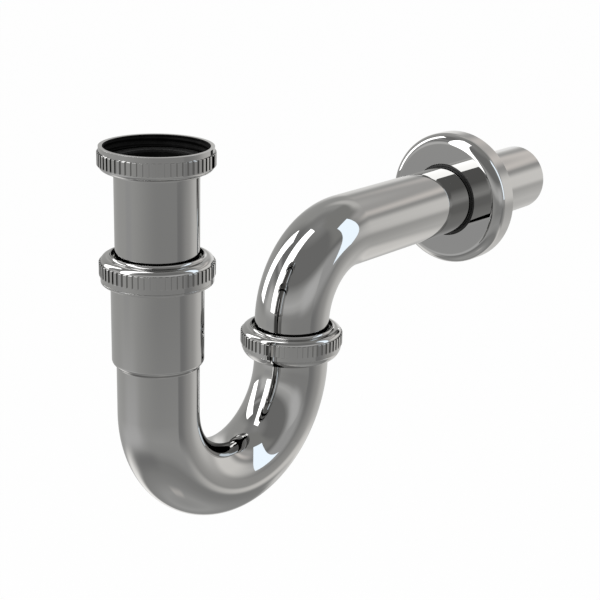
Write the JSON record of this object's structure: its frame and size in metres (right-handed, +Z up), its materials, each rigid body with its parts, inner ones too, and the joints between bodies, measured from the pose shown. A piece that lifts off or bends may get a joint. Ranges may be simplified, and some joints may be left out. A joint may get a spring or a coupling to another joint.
{
  "type": "tubular trap",
  "caption": "Chrome-plated tubular P-trap for a wash basin: ribbed union nuts, sliding inlet tail, U-bend, swivelling outlet bend with a wall pipe and a round wall plate.",
  "frame": {"origin": "centre of the mouth of the inlet nut", "axes": "+Z up along the inlet tail, out of the inlet nut's mouth; +Y from the inlet leg towards the wall, along the outlet pipe; +X to the right when looking towards the wall"},
  "size_m": [0.0634, 0.2815, 0.1615],
  "materials": {
    "nut_chrome": "mirror chrome on turned brass",
    "tube_chrome": "mirror chrome on drawn brass tube",
    "collar_chrome": "mirror chrome on turned brass",
    "plate_chrome": "mirror chrome on pressed brass sheet",
    "seal_rubber": "black moulded rubber",
    "ring_rubber": "black moulded rubber",
    "slip_ring": "plain polyethylene"
  },
  "bodies": {
    "inlet_nut": {"inlet_nut": "nut_chrome", "inlet_washer": "slip_ring"},
    "inlet_gasket": {"inlet_gasket": "seal_rubber"},
    "inlet_tail": {"inlet_tail": "tube_chrome"},
    "slip_seal": {"slip_seal": "seal_rubber"},
    "trap": {"trap_bend": "tube_chrome", "inlet_collar": "collar_chrome", "outlet_collar": "collar_chrome", "swivel_gasket": "seal_rubber"},
    "slip_washer": {"slip_washer": "slip_ring"},
    "slip_nut": {"slip_nut": "nut_chrome"},
    "swivel_washer": {"swivel_washer": "slip_ring"},
    "swivel_nut": {"swivel_nut": "nut_chrome"},
    "outlet": {"outlet_bend": "tube_chrome"},
    "rosette_ring": {"rosette_ring": "ring_rubber"},
    "rosette": {"rosette": "plate_chrome"}
  },
  "joints": [
    {"name": "tail_lift", "type": "slide", "parent": "inlet_nut", "child": "inlet_gasket", "axis": [0, 0, 1], "range_m": [0, 0.018]},
    {"name": "tail_turn", "type": "hinge", "parent": "inlet_gasket", "child": "inlet_tail", "pos_m": [0, 0, -0.006], "axis": [0, 0, 1], "continuous": true},
    {"name": "height_slide", "type": "slide", "parent": "inlet_tail", "child": "slip_seal", "axis": [0, 0, 1], "range_m": [-0.025, 0.005]},
    {"name": "bend_turn", "type": "hinge", "parent": "slip_seal", "child": "trap", "pos_m": [0, 0, -0.049], "axis": [0, 0, 1], "continuous": true},
    {"name": "slip_rise", "type": "slide", "parent": "trap", "child": "slip_washer", "axis": [0, 0, 1], "range_m": [0, 0.00577]},
    {"name": "slip_turn", "type": "hinge", "parent": "slip_washer", "child": "slip_nut", "pos_m": [0, 0, -0.046], "axis": [0, 0, 1], "range_deg": [0, 900]},
    {"name": "swivel_rise", "type": "slide", "parent": "trap", "child": "swivel_washer", "axis": [0, 0, 1], "range_m": [0, 0.00577]},
    {"name": "swivel_turn", "type": "hinge", "parent": "swivel_washer", "child": "swivel_nut", "pos_m": [0, 0.08, -0.0947], "axis": [0, 0, 1], "range_deg": [0, 900]},
    {"name": "outlet_swivel", "type": "hinge", "parent": "trap", "child": "outlet", "pos_m": [0, 0.08, -0.0897], "axis": [0, 0, 1], "range_deg": [-135, 135]},
    {"name": "rosette_slide", "type": "slide", "parent": "outlet", "child": "rosette_ring", "axis": [0, 1, 0], "range_m": [-0.075, 0.05]},
    {"name": "rosette_turn", "type": "hinge", "parent": "rosette_ring", "child": "rosette", "pos_m": [0, 0.1924, -0.055], "axis": [0, 1, 0], "continuous": true}
  ],
  "couplings": [
    {"joint": "slip_turn", "follows": "slip_rise", "rad_per_m": 2721.2},
    {"joint": "swivel_turn", "follows": "swivel_rise", "rad_per_m": 2721.2}
  ]
}
